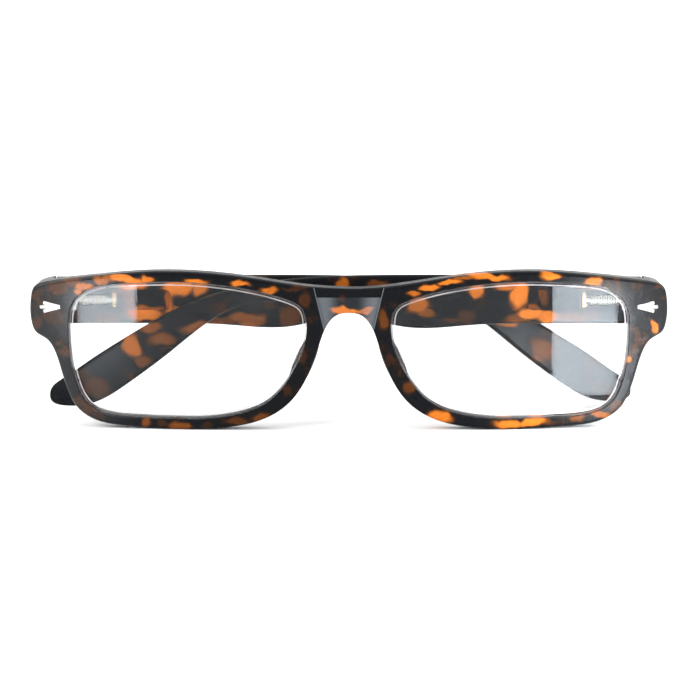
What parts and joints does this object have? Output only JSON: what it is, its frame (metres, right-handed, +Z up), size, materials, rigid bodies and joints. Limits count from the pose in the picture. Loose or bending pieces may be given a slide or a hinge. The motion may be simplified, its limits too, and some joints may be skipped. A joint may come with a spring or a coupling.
{
  "type": "folding reading glasses",
  "caption": "Rectangular tortoiseshell reading glasses standing folded: curved front, two clear lenses and sprung-hinge temples with hockey-stick ends.",
  "frame": {"origin": "centre of the folded glasses' box, on the table", "axes": "+X across the face towards the wearer's left, +Y from the face towards the ears, +Z up"},
  "size_m": [0.1388, 0.0282, 0.0348],
  "materials": {
    "tortoise_acetate": "polished charcoal and amber tortoiseshell plastic",
    "clear_lens": "clear polished reading lens",
    "silver_trim": "bright silver inlay",
    "hinge_steel": "plated hinge steel",
    "spring_steel": "drawn spring wire",
    "bright_steel": "bright plated plate"
  },
  "bodies": {
    "front": {"front_frame": "tortoise_acetate", "left_lens": "clear_lens", "left_trim": "silver_trim", "left_front_hinge": "hinge_steel", "left_hinge_screw": "hinge_steel", "left_hinge_washers": "hinge_steel", "right_lens": "clear_lens", "right_trim": "silver_trim", "right_front_hinge": "hinge_steel", "right_hinge_screw": "hinge_steel", "right_hinge_washers": "hinge_steel"},
    "left_tongue": {"left_hinge_tongue": "hinge_steel", "left_spring_stop": "bright_steel"},
    "left_temple": {"left_temple": "tortoise_acetate", "left_spring_guide": "hinge_steel", "left_spring": "spring_steel"},
    "right_tongue": {"right_hinge_tongue": "hinge_steel", "right_spring_stop": "bright_steel"},
    "right_temple": {"right_temple": "tortoise_acetate", "right_spring_guide": "hinge_steel", "right_spring": "spring_steel"}
  },
  "joints": [
    {"name": "left_fold", "type": "hinge", "parent": "front", "child": "left_tongue", "pos_m": [0.0645, -0.00286, 0.02705], "axis": [0, -0.148, -0.989], "range_deg": [0, 90]},
    {"name": "left_spring_slide", "type": "slide", "parent": "left_tongue", "child": "left_temple", "axis": [-1, 0, 0], "range_m": [0, 0.0006], "stiffness_N_per_m": 4000, "springref_m": -0.0002},
    {"name": "right_fold", "type": "hinge", "parent": "front", "child": "right_tongue", "pos_m": [-0.0645, -0.00286, 0.02705], "axis": [0, 0.148, 0.989], "range_deg": [0, 81.8]},
    {"name": "right_spring_slide", "type": "slide", "parent": "right_tongue", "child": "right_temple", "axis": [0.9898, 0.141, -0.021], "range_m": [0, 0.0006], "stiffness_N_per_m": 4000, "springref_m": -0.0002}
  ],
  "couplings": [
    {"joint": "left_fold", "follows": "right_fold", "ratio": 0.2}
  ]
}
